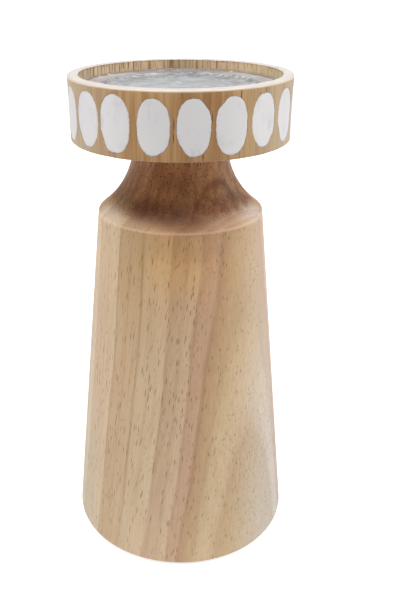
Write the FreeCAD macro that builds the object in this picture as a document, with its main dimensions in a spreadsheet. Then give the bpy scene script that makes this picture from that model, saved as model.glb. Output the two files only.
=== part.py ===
import FreeCAD, Part
import math
import os

import Sketcher
from FreeCAD import Placement, Rotation, Vector

# Wooden candlestick for one pillar candle.
#
# A turned column (a straight-sided cone, a rounded shoulder and a coved neck) carries a turned cup
# on a glued tenon, held by one hidden double-ended screw. White oval inlays lie in shallow pockets
# round the cup's band, and a thin metal drip pan lies in its recess. Felt pads stand under the base.
#
# Frame: millimetres, +Z up, origin on the table at the centre of the base, front towards -Y.

SIZES = {
    # whole object
    "overall_height": 228.5,
    "edge_round": 0.6,
    # felt pads
    "pad_thickness": 1.5,
    "pad_radius": 8.0,
    "pad_circle_radius": 40.0,
    # turned column
    "base_radius": 55.3,
    "shoulder_radius": 38.0,
    "shoulder_height": 168.1,
    "shoulder_softness": 1.5,
    "roll_radius": 5.6,
    "cove_radius": 38.5,
    "neck_radius": 21.0,
    "neck_land": 0.9,
    "tenon_radius": 12.5,
    "tenon_length": 8.0,
    "pilot_radius": 2.45,
    "pilot_spare": 0.5,
    # cup
    "cup_radius": 48.5,
    "cup_height": 27.2,
    "recess_radius": 43.8,
    "rebate_radius": 43.3,
    "rebate_depth": 1.4,
    "seat_depth": 5.6,
    "well_radius": 36.0,
    "well_depth": 1.1,
    "socket_radius": 12.6,
    "socket_depth": 8.5,
    # drip pan
    "pan_radius": 43.15,
    "pan_sheet": 0.9,
    "pan_dish_radius": 33.5,
    "pan_dish_slope": 1.6,
    "pan_dish_depth": 0.9,
    "pan_lip_width": 0.9,
    "pan_lip_height": 0.4,
    # double-ended screw
    "dowel_length": 42.0,
    "dowel_grip": 9.0,
    "dowel_tip": 3.0,
    "dowel_core_radius": 1.7,
    "dowel_thread_radius": 2.4,
    "thread_pitch": 2.2,
    # oval inlays
    "oval_width": 13.4,
    "oval_height": 22.0,
    "oval_centre_depth": 14.0,
    "inlay_depth": 2.0,
    "inlay_gap": 0.12,
    # how far a cut starts outside the surface that it goes into
    "run_out": 1.0,
}

# Turns of thread below and above the screw's plain middle.
LOWER_TURNS = 9
UPPER_TURNS = 2

# Each inlay is cut by hand from the same oval. A row gives its drift round the band in degrees,
# its lift up the band in mm, its width and height against the oval's, and the flats that the
# cutter left on its outline, each as a clock angle in degrees (0 is up, 90 is to the right seen
# from outside) and a depth in mm. Row 0 is the inlay nearest the front, and the rest follow to the
# right round the cup.
FRONT_INLAY_ANGLE = 5.8
HAND_CUTS = (
    (0.4, 0.0, 0.98, 1.00, ((52, 0.6), (240, 0.6))),
    (-0.5, 0.0, 1.00, 1.02, ((314, 0.8),)),
    (-0.7, 0.5, 0.96, 0.95, ((130, 0.6), (235, 0.5))),
    (-0.6, 0.1, 1.02, 0.97, ((247, 1.0),)),
    (0.2, -0.1, 0.99, 1.00, ((140, 0.7), (330, 0.5))),
    (-0.3, 0.2, 1.01, 0.98, ((44, 0.6),)),
    (0.5, 0.0, 0.97, 1.01, ((205, 0.6), (60, 0.4))),
    (0.1, -0.2, 1.00, 0.99, ((310, 0.7),)),
    (-0.4, 0.0, 1.03, 1.00, ((150, 0.7), (25, 0.5))),
    (0.3, 0.3, 0.98, 0.97, ((230, 0.6),)),
    (-0.2, 0.0, 1.01, 1.01, ((305, 0.8), (125, 0.5))),
    (0.4, 0.1, 0.99, 0.98, ((50, 0.8),)),
    (0.0, -0.1, 1.00, 1.02, ((240, 0.6), (300, 0.6))),
    (-0.5, 0.1, 0.97, 0.99, ((135, 0.9),)),
    (0.3, 0.0, 1.02, 0.98, ((60, 0.6), (240, 0.7))),
    (0.8, -0.1, 1.00, 1.00, ((130, 0.6),)),
    (0.6, 0.0, 1.04, 1.00, ((238, 0.8), (125, 0.5))),
    (0.1, 0.1, 1.03, 1.03, ((248, 0.6), (186, 0.3))),
    (0.7, -0.1, 0.97, 0.99, ((150, 0.5), (40, 0.4))),
)
# 2 is a plain ellipse, and more is fuller at its shoulders.
OVAL_FULLNESS = 2.3
OUTLINE_POINTS = 32

doc = FreeCAD.newDocument("Candlestick")


def make_sheet():
    """The driving dimensions, one plain number to a cell, each under its own alias."""
    sheet = doc.addObject("Spreadsheet::Sheet", "sizes")
    for row, (alias, value) in enumerate(SIZES.items(), start=1):
        sheet.set("A%d" % row, alias)
        sheet.set("B%d" % row, str(value))
        sheet.setAlias("B%d" % row, alias)
    doc.recompute()
    return sheet


sheet = make_sheet()


def size(alias):
    return float(sheet.get(alias))


def bound(expression):
    """An expression over the sheet's aliases, written with the sheet's name before each alias."""
    words = expression.split()
    return " ".join("sizes." + word if word in SIZES else word for word in words)


def value_of(expression):
    return float(sheet.evalExpression(bound(expression)))


def make_body(label):
    body = doc.addObject("PartDesign::Body", label)
    body.Label = label
    return body


def origin_plane(body, role):
    return next(item for item in body.Origin.OriginFeatures if item.Role == role)


def make_sketch(body, role, label, offset=None):
    sketch = body.newObject("Sketcher::SketchObject", label)
    sketch.AttachmentSupport = [(origin_plane(body, role), "")]
    sketch.MapMode = "FlatFace"
    if offset:
        sketch.AttachmentOffset = offset
    return sketch


def bind(sketch, kind, arguments, expression):
    """One dimension of a sketch, held to an expression over the sheet."""
    index = sketch.addConstraint(Sketcher.Constraint(kind, *arguments, value_of(expression)))
    sketch.setExpression("Constraints[%d]" % index, bound(expression))


def locate(sketch, edge, end, across, up):
    """Hold one end of an edge at a place given as two expressions. "0" is on the axis."""
    if across == "0":
        sketch.addConstraint(Sketcher.Constraint("PointOnObject", edge, end, -2))
    else:
        bind(sketch, "DistanceX", (-1, 1, edge, end), across)
    if up == "0":
        sketch.addConstraint(Sketcher.Constraint("PointOnObject", edge, end, -1))
    else:
        bind(sketch, "DistanceY", (-1, 1, edge, end), up)


def join(sketch, first, second):
    sketch.addConstraint(Sketcher.Constraint("Coincident", first, 2, second, 1))


def draw_outline(sketch, corners):
    """A closed outline of straight edges through corners given as pairs of expressions."""
    points = [Vector(value_of(across), value_of(up), 0) for across, up in corners]
    count = len(points)
    for index in range(count):
        sketch.addGeometry(Part.LineSegment(points[index], points[(index + 1) % count]), False)
    for index in range(count):
        join(sketch, index, (index + 1) % count)
    for index, (across, up) in enumerate(corners):
        locate(sketch, index, 1, across, up)


def revolve(body, sketch, label):
    turned = body.newObject("PartDesign::Revolution", label)
    turned.Profile = sketch
    turned.ReferenceAxis = (sketch, ["V_Axis"])
    turned.Angle = 360
    doc.recompute()
    return turned


def turn(body, label, corners):
    """Turn a half section about the Z axis."""
    sketch = make_sketch(body, "XZ_Plane", label + "_section")
    draw_outline(sketch, corners)
    return revolve(body, sketch, label)


def round_edges(body, base, radius_alias, circles):
    """Round the circular edges of a turned piece, each found by its radius and height."""
    names = []
    for radius, height in circles:
        for number, edge in enumerate(base.Shape.Edges, start=1):
            curve = edge.Curve
            if not isinstance(curve, Part.Circle):
                continue
            same_radius = abs(curve.Radius - radius) < 0.01
            same_height = abs(curve.Center.z - height) < 0.01
            if same_radius and same_height:
                names.append("Edge%d" % number)
                break
    if len(names) != len(circles):
        raise RuntimeError("an edge to round was not found on " + base.Label)
    fillet = body.newObject("PartDesign::Fillet", body.Label + "_" + radius_alias)
    fillet.Base = (base, names)
    fillet.Radius = size(radius_alias)
    fillet.setExpression("Radius", bound(radius_alias))
    doc.recompute()
    return fillet


def cut(body, kind, sketch, label, settings):
    """A pocket or a groove, checked to have taken something away."""
    before = body.Shape.Volume
    feature = body.newObject("PartDesign::" + kind, label)
    feature.Profile = sketch
    for name, expression in settings.items():
        setattr(feature, name, value_of(expression))
        feature.setExpression(name, bound(expression))
    if kind == "Groove":
        feature.ReferenceAxis = (sketch, ["V_Axis"])
        feature.Angle = 360
    doc.recompute()
    if body.Shape.Volume >= before - 0.01:
        raise RuntimeError(label + " cuts nothing")
    return feature


# Heights that several pieces share.
CUP_BOTTOM = "overall_height - cup_height"
SEAT = "overall_height - seat_depth"
WELL = SEAT + " - well_depth"
SOCKET_TOP = CUP_BOTTOM + " + socket_depth"
DOWEL_TOP = SOCKET_TOP + " + dowel_grip"
DOWEL_BOTTOM = DOWEL_TOP + " - dowel_length"


def make_column():
    """Cone, shoulder roll, cove and neck turned in one with the tenon, and the pilot hole."""
    body = make_body("turned_column")
    sketch = make_sketch(body, "XZ_Plane", "column_section")

    base_z = size("pad_thickness")
    cup_bottom = value_of(CUP_BOTTOM)
    cove_top = cup_bottom - size("neck_land")
    tenon_top = cup_bottom + size("tenon_length")
    crease = Vector(size("shoulder_radius"), size("shoulder_height"), 0)
    cove_centre = Vector(size("neck_radius") + size("cove_radius"), cove_top, 0)

    # The roll touches the cove from outside and ends at the crease, so its centre is where two
    # circles meet: one about the crease, one about the cove's centre.
    reach = size("cove_radius") + size("roll_radius")
    span = (crease - cove_centre).Length
    along = (reach**2 - size("roll_radius") ** 2 + span**2) / (2 * span)
    aside = math.sqrt(reach**2 - along**2)
    towards = (crease - cove_centre).normalize()
    across = Vector(towards.y, -towards.x, 0)
    roll_centre = cove_centre + towards * along + across * aside
    inflection = cove_centre + (roll_centre - cove_centre).normalize() * size("cove_radius")

    def bearing(centre, point):
        return math.atan2(point.y - centre.y, point.x - centre.x)

    def arc(centre, radius, start, end):
        circle = Part.Circle(centre, Vector(0, 0, 1), radius)
        return Part.ArcOfCircle(circle, bearing(centre, start), bearing(centre, end))

    cove_start = Vector(size("neck_radius"), cove_top, 0)
    corners = {
        "axis_low": Vector(0, base_z, 0),
        "base": Vector(size("base_radius"), base_z, 0),
        "neck": Vector(size("neck_radius"), cup_bottom, 0),
        "tenon_low": Vector(size("tenon_radius"), cup_bottom, 0),
        "tenon_top": Vector(size("tenon_radius"), tenon_top, 0),
        "axis_top": Vector(0, tenon_top, 0),
    }
    base = sketch.addGeometry(Part.LineSegment(corners["axis_low"], corners["base"]))
    cone = sketch.addGeometry(Part.LineSegment(corners["base"], crease))
    roll = sketch.addGeometry(arc(roll_centre, size("roll_radius"), crease, inflection))
    cove = sketch.addGeometry(arc(cove_centre, size("cove_radius"), cove_start, inflection))
    land = sketch.addGeometry(Part.LineSegment(cove_start, corners["neck"]))
    ledge = sketch.addGeometry(Part.LineSegment(corners["neck"], corners["tenon_low"]))
    tenon = sketch.addGeometry(Part.LineSegment(corners["tenon_low"], corners["tenon_top"]))
    top = sketch.addGeometry(Part.LineSegment(corners["tenon_top"], corners["axis_top"]))
    axis = sketch.addGeometry(Part.LineSegment(corners["axis_top"], corners["axis_low"]))

    join(sketch, base, cone)
    join(sketch, cone, roll)
    join(sketch, land, ledge)
    join(sketch, ledge, tenon)
    join(sketch, tenon, top)
    join(sketch, top, axis)
    join(sketch, axis, base)
    sketch.addConstraint(Sketcher.Constraint("Tangent", roll, 2, cove, 2))
    sketch.addConstraint(Sketcher.Constraint("Tangent", cove, 1, land, 1))

    locate(sketch, base, 1, "0", "pad_thickness")
    locate(sketch, cone, 1, "base_radius", "pad_thickness")
    locate(sketch, cone, 2, "shoulder_radius", "shoulder_height")
    locate(sketch, ledge, 1, "neck_radius", CUP_BOTTOM)
    locate(sketch, ledge, 2, "tenon_radius", CUP_BOTTOM)
    locate(sketch, tenon, 2, "tenon_radius", CUP_BOTTOM + " + tenon_length")
    locate(sketch, axis, 1, "0", CUP_BOTTOM + " + tenon_length")
    bind(sketch, "DistanceX", (-1, 1, land, 1), "neck_radius")
    bind(sketch, "DistanceY", (land, 1, land, 2), "neck_land")
    bind(sketch, "Radius", (roll,), "roll_radius")
    bind(sketch, "Radius", (cove,), "cove_radius")
    blank = revolve(body, sketch, "column_blank")

    softened = round_edges(
        body, blank, "shoulder_softness", [(size("shoulder_radius"), size("shoulder_height"))]
    )
    rounded = round_edges(body, softened, "edge_round", [(size("base_radius"), base_z)])
    body.Tip = rounded

    drill = make_sketch(body, "XZ_Plane", "pilot_section")
    pilot_top = CUP_BOTTOM + " + tenon_length + run_out"
    pilot_bottom = DOWEL_BOTTOM + " - pilot_spare"
    draw_outline(
        drill,
        (
            ("0", pilot_bottom),
            ("pilot_radius", pilot_bottom + " + pilot_radius"),
            ("pilot_radius", pilot_top),
            ("0", pilot_top),
        ),
    )
    cut(body, "Groove", drill, "pilot_hole", {})
    return body


def outline_radius(angle, half_width, half_height, flats):
    """Distance from an oval's centre to its edge at a clock angle, trimmed by its flats."""
    power = OVAL_FULLNESS
    run_x = abs(math.sin(angle)) / half_width
    run_y = abs(math.cos(angle)) / half_height
    radius = (run_x**power + run_y**power) ** (-1 / power)
    facing_power = power / (power - 1)
    for clock, depth in flats:
        facing = math.radians(clock)
        reach_x = half_width * abs(math.sin(facing))
        reach_y = half_height * abs(math.cos(facing))
        support = (reach_x**facing_power + reach_y**facing_power) ** (1 / facing_power)
        lean = math.cos(angle - facing)
        if lean > 0:
            radius = min(radius, (support - depth) / lean)
    return radius


def draw_oval(sketch, row, growth):
    """The closed curve of one hand-cut oval, centred on the sketch's vertical axis."""
    _, lift, width, height, flats = HAND_CUTS[row]
    half_width = size("oval_width") * width / 2 + growth
    half_height = size("oval_height") * height / 2 + growth
    centre_z = size("overall_height") - size("oval_centre_depth") + lift
    points = []
    for step in range(OUTLINE_POINTS):
        angle = 2 * math.pi * step / OUTLINE_POINTS
        radius = outline_radius(angle, half_width, half_height, flats)
        points.append(Vector(radius * math.sin(angle), centre_z + radius * math.cos(angle), 0))
    curve = Part.BSplineCurve()
    curve.interpolate(Points=points, PeriodicFlag=True)
    sketch.addGeometry(curve, False)


def inlay_angle(row):
    """Bearing of an inlay round the cup in degrees, from the front towards +X."""
    pitch = 360.0 / len(HAND_CUTS)
    return FRONT_INLAY_ANGLE + row * pitch + HAND_CUTS[row][0]


def make_cup():
    """Turned cup: socket and pilot below, seat and well for the pan above, pockets round it."""
    body = make_body("cup")
    pilot_top = DOWEL_TOP + " + pilot_spare"
    blank = turn(
        body,
        "cup_blank",
        (
            ("0", pilot_top),
            ("pilot_radius", pilot_top),
            ("pilot_radius", SOCKET_TOP),
            ("socket_radius", SOCKET_TOP),
            ("socket_radius", CUP_BOTTOM),
            ("cup_radius", CUP_BOTTOM),
            ("cup_radius", "overall_height"),
            ("recess_radius", "overall_height"),
            ("recess_radius", SEAT + " + rebate_depth"),
            ("rebate_radius", SEAT + " + rebate_depth"),
            ("rebate_radius", SEAT),
            ("well_radius", SEAT),
            ("well_radius", WELL),
            ("0", WELL),
        ),
    )
    top = size("overall_height")
    rim = [
        (size("cup_radius"), top),
        (size("recess_radius"), top),
        (size("cup_radius"), value_of(CUP_BOTTOM)),
    ]
    body.Tip = round_edges(body, blank, "edge_round", rim)

    for row in range(len(HAND_CUTS)):
        swing = Rotation(Vector(0, 1, 0), inlay_angle(row))
        out = swing.multVec(Vector(0, 0, value_of("cup_radius + run_out")))
        label = "pocket_%02d" % (row + 1)
        sketch = make_sketch(body, "XZ_Plane", label + "_outline", Placement(out, swing))
        draw_oval(sketch, row, size("inlay_gap"))
        cut(body, "Pocket", sketch, label, {"Length": "inlay_depth + run_out"})
    return body


def make_inlay(row):
    """One white oval, flat behind and turned flush with the cup's band in front."""
    body = make_body("inlay_%02d" % (row + 1))
    back = Placement(Vector(0, 0, size("cup_radius") - size("inlay_depth")), Rotation())
    sketch = make_sketch(body, "XZ_Plane", body.Label + "_outline", back)
    sketch.setExpression("AttachmentOffset.Base.z", bound("cup_radius - inlay_depth"))
    draw_oval(sketch, row, 0.0)
    slab = body.newObject("PartDesign::Pad", body.Label + "_slab")
    slab.Profile = sketch
    slab.Length = value_of("inlay_depth + run_out")
    slab.setExpression("Length", bound("inlay_depth + run_out"))
    doc.recompute()

    skim = make_sketch(body, "XZ_Plane", body.Label + "_skim")
    draw_outline(
        skim,
        (
            ("cup_radius", CUP_BOTTOM),
            ("cup_radius + run_out * 2", CUP_BOTTOM),
            ("cup_radius + run_out * 2", "overall_height"),
            ("cup_radius", "overall_height"),
        ),
    )
    cut(body, "Groove", skim, body.Label + "_face", {})
    body.Placement = Placement(Vector(), Rotation(Vector(0, 0, 1), inlay_angle(row)))
    return body


def make_pan():
    """Spun metal pan: flat seat ring, thin raised lip and a slightly sunk middle."""
    body = make_body("drip_pan")
    ring_top = SEAT + " + pan_sheet"
    dish_edge = "pan_dish_radius + pan_dish_slope"
    turn(
        body,
        "pan_blank",
        (
            ("0", SEAT + " - pan_dish_depth"),
            ("pan_dish_radius", SEAT + " - pan_dish_depth"),
            (dish_edge, SEAT),
            ("pan_radius", SEAT),
            ("pan_radius", ring_top + " + pan_lip_height"),
            ("pan_radius - pan_lip_width / 2", ring_top + " + pan_lip_height"),
            ("pan_radius - pan_lip_width", ring_top),
            (dish_edge, ring_top),
            ("pan_dish_radius", ring_top + " - pan_dish_depth"),
            ("0", ring_top + " - pan_dish_depth"),
        ),
    )
    return body


def make_screw():
    """Double-ended wood screw: a point and a ringed thread at each end of a plain middle."""
    body = make_body("dowel_screw")
    lower_start = DOWEL_BOTTOM + " + dowel_tip"
    lower_end = lower_start + " + thread_pitch * %d" % LOWER_TURNS
    upper_end = DOWEL_TOP + " - dowel_tip"
    upper_start = upper_end + " - thread_pitch * %d" % UPPER_TURNS
    turn(
        body,
        "screw_blank",
        (
            ("0", DOWEL_BOTTOM),
            ("dowel_core_radius", lower_start),
            ("dowel_core_radius", lower_end),
            ("dowel_thread_radius", lower_end),
            ("dowel_thread_radius", upper_start),
            ("dowel_core_radius", upper_start),
            ("dowel_core_radius", upper_end),
            ("0", DOWEL_TOP),
        ),
    )
    for label, start, turns in (
        ("lower_thread", lower_start, LOWER_TURNS),
        ("upper_thread", upper_start, UPPER_TURNS),
    ):
        sketch = make_sketch(body, "XZ_Plane", label + "_section")
        draw_outline(
            sketch,
            (
                ("dowel_core_radius / 2", start),
                ("dowel_core_radius", start),
                ("dowel_thread_radius", start + " + thread_pitch / 4"),
                ("dowel_core_radius", start + " + thread_pitch / 2"),
                ("dowel_core_radius / 2", start + " + thread_pitch / 2"),
            ),
        )
        ridge = revolve(body, sketch, label + "_ridge")
        thread = body.newObject("PartDesign::LinearPattern", label)
        thread.Originals = [ridge]
        thread.Direction = (sketch, ["V_Axis"])
        thread.Length = size("thread_pitch") * (turns - 1)
        thread.setExpression("Length", bound("thread_pitch * %d" % (turns - 1)))
        thread.Occurrences = turns
        body.Tip = thread
        doc.recompute()
    return body


def make_pad(number):
    """One round felt pad under the base."""
    body = make_body("felt_pad_%d" % number)
    sketch = make_sketch(body, "XY_Plane", body.Label + "_outline")
    sketch.addGeometry(Part.Circle(Vector(), Vector(0, 0, 1), size("pad_radius")), False)
    sketch.addConstraint(Sketcher.Constraint("Coincident", 0, 3, -1, 1))
    bind(sketch, "Radius", (0,), "pad_radius")
    felt = body.newObject("PartDesign::Pad", body.Label + "_felt")
    felt.Profile = sketch
    felt.Length = size("pad_thickness")
    felt.setExpression("Length", bound("pad_thickness"))
    angle = 90 * number - 45
    body.setExpression("Placement.Base.x", bound("pad_circle_radius") + " * cos(%d deg)" % angle)
    body.setExpression("Placement.Base.y", bound("pad_circle_radius") + " * sin(%d deg)" % angle)
    doc.recompute()
    return body


def check_document(pieces):
    for item in doc.Objects:
        if "Invalid" in item.State or "Error" in item.State:
            raise RuntimeError(item.Label + " failed: " + str(item.State))
    for piece in pieces:
        shape = piece.Shape
        if shape.isNull() or not shape.isValid() or len(shape.Solids) != 1:
            raise RuntimeError(piece.Label + " has no valid single solid")


pieces = [make_column(), make_cup(), make_pan(), make_screw()]
pieces += [make_inlay(row) for row in range(len(HAND_CUTS))]
pieces += [make_pad(number) for number in (1, 2, 3, 4)]
doc.recompute()
check_document(pieces)

os.makedirs("parts", exist_ok=True)
for piece in pieces:
    piece.Shape.exportStep("parts/%s.step" % piece.Label)
    print("%-14s volume %10.1f mm3" % (piece.Label, piece.Shape.Volume))
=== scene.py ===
import math

import bpy
from mathutils import Matrix, Vector, geometry, noise


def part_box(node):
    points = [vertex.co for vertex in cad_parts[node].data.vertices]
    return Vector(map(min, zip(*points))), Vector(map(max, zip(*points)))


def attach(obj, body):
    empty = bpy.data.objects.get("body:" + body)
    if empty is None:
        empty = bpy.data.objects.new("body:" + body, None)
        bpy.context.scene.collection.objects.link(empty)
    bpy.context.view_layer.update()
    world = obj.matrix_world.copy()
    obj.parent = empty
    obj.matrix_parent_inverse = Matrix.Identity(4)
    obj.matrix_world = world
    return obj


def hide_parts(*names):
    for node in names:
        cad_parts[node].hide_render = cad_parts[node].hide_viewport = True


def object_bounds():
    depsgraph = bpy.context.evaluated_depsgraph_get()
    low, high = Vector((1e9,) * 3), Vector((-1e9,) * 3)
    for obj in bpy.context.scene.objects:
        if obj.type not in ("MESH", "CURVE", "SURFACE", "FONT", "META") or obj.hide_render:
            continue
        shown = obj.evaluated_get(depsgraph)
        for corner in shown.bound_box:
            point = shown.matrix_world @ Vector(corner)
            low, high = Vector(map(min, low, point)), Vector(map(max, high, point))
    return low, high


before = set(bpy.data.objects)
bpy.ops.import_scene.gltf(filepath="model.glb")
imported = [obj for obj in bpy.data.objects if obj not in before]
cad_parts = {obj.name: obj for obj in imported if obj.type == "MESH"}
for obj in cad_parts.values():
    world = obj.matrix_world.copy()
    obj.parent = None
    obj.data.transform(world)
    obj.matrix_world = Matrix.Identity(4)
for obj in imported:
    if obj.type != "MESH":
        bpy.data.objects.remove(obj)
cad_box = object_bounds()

# Wooden candlestick: a turned column, a turned cup with white oval inlays and a metal drip pan.
# The frame's own axes are kept: +Z up, front towards -Y. Shapes and finishes are worked out in
# millimetres and turned into metres as each mesh is made.

MM = 0.001
scene = bpy.context.scene
# Edges that turn by more than this many degrees stay sharp in the shading.
SHARP_ANGLE = 40


# ---- shapes

def mesh_object(name, points, faces):
    """A new object in the scene, from points in mm."""
    mesh = bpy.data.meshes.new(name)
    mesh.from_pydata([Vector(point) * MM for point in points], [], faces)
    mesh.validate()
    mesh.update()
    made = bpy.data.objects.new(name, mesh)
    scene.collection.objects.link(made)
    return made


def add_piece(name, points, faces, material, replaced):
    """A piece of the object, in place of the CAD nodes named in replaced."""
    piece = mesh_object(name, points, faces)
    smooth(piece.data)
    piece.data.materials.append(material)
    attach(piece, "root")
    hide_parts(*replaced)
    return piece


def smooth(mesh):
    mesh.shade_smooth()
    mesh.set_sharp_from_angle(angle=math.radians(SHARP_ANGLE))


def around(angle, radius):
    """The place at this angle from the front, this far from the axis."""
    return radius * math.sin(angle), -radius * math.cos(angle)


def uneven(point, scales, depth):
    """Smooth unevenness of about this depth at a point, with its own scale along x, y and z."""
    place = [along * scale for along, scale in zip(point, scales)]
    return noise.noise(Vector(place)) * depth


def node_box(node):
    """Lowest and highest corner of a CAD node, in mm."""
    low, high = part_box(node)
    return low / MM, high / MM


def lathe(profile, segments, shape):
    """Points and faces of a turned solid, from a half section that starts and ends on the axis.

    shape wears it: it gives a point's radius and height from its angle, radius and height.
    """
    points, faces, rows = [], [], []
    for radius, height in profile:
        row = []
        for step in range(segments if radius > 0 else 1):
            angle = 2 * math.pi * step / segments
            across, up = shape(angle, radius, height)
            row.append(len(points))
            points.append((*around(angle, across), up))
        rows.append(row)
    for lower, upper in zip(rows, rows[1:]):
        for step in range(segments):
            ring = [lower[step % len(lower)], lower[(step + 1) % len(lower)]]
            ring += [upper[(step + 1) % len(upper)], upper[step % len(upper)]]
            faces.append(list(dict.fromkeys(ring)))
    return points, faces


def quads(lower, upper):
    """The faces between two closed rows of the same number of points."""
    count = len(lower)
    after = [(step + 1) % count for step in range(count)]
    return [[lower[a], lower[b], upper[b], upper[a]] for a, b in enumerate(after)]


def arc(centre, start, end, steps):
    """Points from start to end on the shorter arc about centre, both ends included."""
    radius = math.dist(centre, start)
    first = math.atan2(start[1] - centre[1], start[0] - centre[0])
    last = math.atan2(end[1] - centre[1], end[0] - centre[0])
    turn = (last - first + math.pi) % (2 * math.pi) - math.pi
    angles = [first + turn * step / steps for step in range(steps + 1)]
    return [(centre[0] + radius * math.cos(a), centre[1] + radius * math.sin(a)) for a in angles]


def rounded(corners, steps=5):
    """An outline through (radius, height, rounding) corners, each rounding drawn as an arc."""
    outline = []
    for index, (radius, height, rounding) in enumerate(corners):
        if not rounding:
            outline.append((radius, height))
            continue
        corner = Vector((radius, height))
        before = (Vector(corners[index - 1][:2]) - corner).normalized()
        after = (Vector(corners[index + 1][:2]) - corner).normalized()
        half = before.angle(after) / 2
        centre = corner + (before + after).normalized() * rounding / math.sin(half)
        reach = rounding / math.tan(half)
        outline += arc(centre, corner + before * reach, corner + after * reach, steps)
    return outline


def spaced(outline, longest):
    """The same outline with points added so that no edge is longer than longest."""
    points = [outline[0]]
    for start, end in zip(outline, outline[1:]):
        run = math.dist(start, end)
        count = max(1, math.ceil(run / longest))
        for step in range(1, count + 1):
            share = step / count
            points.append(tuple(a + (b - a) * share for a, b in zip(start, end)))
    return points


# ---- column

SHOULDER_RADIUS = 38.0
SHOULDER_HEIGHT = 168.1
CREASE_SOFTNESS = 0.7
ROLL_RADIUS = 5.6
COVE_RADIUS = 38.5
NECK_RADIUS = 21.0
NECK_LAND = 0.9
TENON_RADIUS = 12.5
PILOT_RADIUS = 2.45
PILOT_BOTTOM = 176.3
EDGE_ROUND = 0.6
COLUMN_SEGMENTS = 400
# The longest edge up the cone in mm, and how many edges the bends above it have.
CONE_EDGE = 1.6
CREASE_STEPS = 6
ROLL_STEPS = 16
COVE_STEPS = 30
# Tool marks and raised grain: scale along x, y and z, per mm, and depth in mm.
TURNING_MARKS = ((0, 0, 0.5), 0.012)
RAISED_GRAIN = ((0.09, 0.09, 0.015), 0.06)
# Small knocks in the column's wood: bearing from the front, height, size across and depth in mm.
DENTS = (
    (-31, 6.5, 2.2, 0.22),
    (22, 3.2, 1.8, 0.25),
    (64, 41.0, 2.6, 0.10),
    (-58, 97.0, 3.0, 0.10),
    (151, 5.0, 2.4, 0.28),
    (-118, 60.0, 3.2, 0.12),
    (203, 121.0, 2.6, 0.12),
    (12, 166.9, 1.5, 0.16),
    (-74, 167.2, 1.6, 0.18),
    (98, 167.0, 1.4, 0.16),
)


def column_outline(base_z, base_radius, cup_bottom, tenon_top):
    """Half section of the column: base, cone, softened crease, roll, cove, neck and tenon."""
    crease = Vector((SHOULDER_RADIUS, SHOULDER_HEIGHT))
    cove_centre = Vector((NECK_RADIUS + COVE_RADIUS, cup_bottom - NECK_LAND))
    reach = COVE_RADIUS + ROLL_RADIUS
    span = (crease - cove_centre).length
    along = (reach**2 - ROLL_RADIUS**2 + span**2) / (2 * span)
    aside = math.sqrt(reach**2 - along**2)
    towards = (crease - cove_centre).normalized()
    across = Vector((towards.y, -towards.x))
    roll_centre = cove_centre + towards * along + across * aside
    inflection = cove_centre + (roll_centre - cove_centre).normalized() * COVE_RADIUS

    down_cone = (Vector((base_radius, base_z)) - crease).normalized()
    roll = arc(roll_centre, crease, inflection, ROLL_STEPS)
    start = crease + down_cone * CREASE_SOFTNESS
    roll_start = next(p for p in roll if math.dist(p, crease) > CREASE_SOFTNESS)
    kept_roll = roll[roll.index(roll_start):]
    bend = []
    for step in range(CREASE_STEPS):
        share = step / CREASE_STEPS
        bend.append(tuple(
            start * (1 - share) ** 2
            + crease * 2 * share * (1 - share)
            + Vector(roll_start) * share**2
        ))
    foot = rounded((
        (0, base_z, 0),
        (base_radius, base_z, EDGE_ROUND),
        (crease.x, crease.y, 0),
    ))[:-1]
    cove = arc(cove_centre, inflection, (NECK_RADIUS, cove_centre.y), COVE_STEPS)[1:]
    top = [
        (NECK_RADIUS, cup_bottom),
        (TENON_RADIUS, cup_bottom),
        (TENON_RADIUS, tenon_top),
        (PILOT_RADIUS, tenon_top),
        (PILOT_RADIUS, PILOT_BOTTOM),
        (0, PILOT_BOTTOM),
    ]
    cone = spaced([foot[-1], bend[0]], CONE_EDGE)[1:]
    return foot + cone + bend[1:] + kept_roll + cove + top


def worn_column(angle, radius, height):
    """Tool marks of the turning, grain that stands a little proud, and small knocks."""
    if radius < NECK_RADIUS:
        return radius, height
    x, y = around(angle, radius)
    turning = uneven((x, y, height), *TURNING_MARKS)
    grain = uneven((x, y, height), *RAISED_GRAIN)
    depth = 0
    for bearing, place, size, deep in DENTS:
        turn = (angle - math.radians(bearing) + math.pi) % (2 * math.pi) - math.pi
        away = math.hypot(turn * radius, height - place) / size
        depth += deep * math.exp(-2 * away * away)
    return radius + turning + grain - depth, height


def make_column(material):
    low, high = node_box("turned_column")
    outline = column_outline(low.z, high.x, node_box("cup")[0].z, high.z)
    points, faces = lathe(outline, COLUMN_SEGMENTS, worn_column)
    add_piece("column", points, faces, material, ["turned_column"])


# ---- inlays and cup

RECESS_RADIUS = 43.8
REBATE_RADIUS = 43.3
REBATE_DEPTH = 1.4
SEAT_DEPTH = 5.6
WELL_RADIUS = 36.0
WELL_DEPTH = 1.1
SOCKET_RADIUS = 12.6
SOCKET_DEPTH = 8.5
CUP_PILOT_TOP = 219.3
CUP_SEGMENTS = 456
RIM_OUTER_ROUND = 0.8
RIM_INNER_ROUND = 0.35
INLAY_DEPTH = 2.0
INLAY_POINTS = 96
# How many points to each side an outline's corners are eased over.
INLAY_SOFTENING = 1
# A pocket is this much wider all round than its inlay, in mm.
POCKET_GAP = 0.09
# Small nicks in an inlay's cut edge: scale across, up and from one inlay to the next, and size.
INLAY_NICKS = ((1.3, 1.3, 9), 0.28)
# An inlay's face is rubbed uneven: scale per mm, depth in mm, and how far it lies in on average.
FACE_RUB_SCALE = 0.16
FACE_RUB_DEPTH = 0.07
FACE_RUB_SUNK = 0.03
# The cup's band and its rim are never quite true: scale along x, y and z, per mm, and depth in mm.
BAND_WEAR = ((0.12, 0.12, 0.05), 0.08)
RIM_WEAR = ((0.15, 0.15, 40), 0.10)
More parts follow.
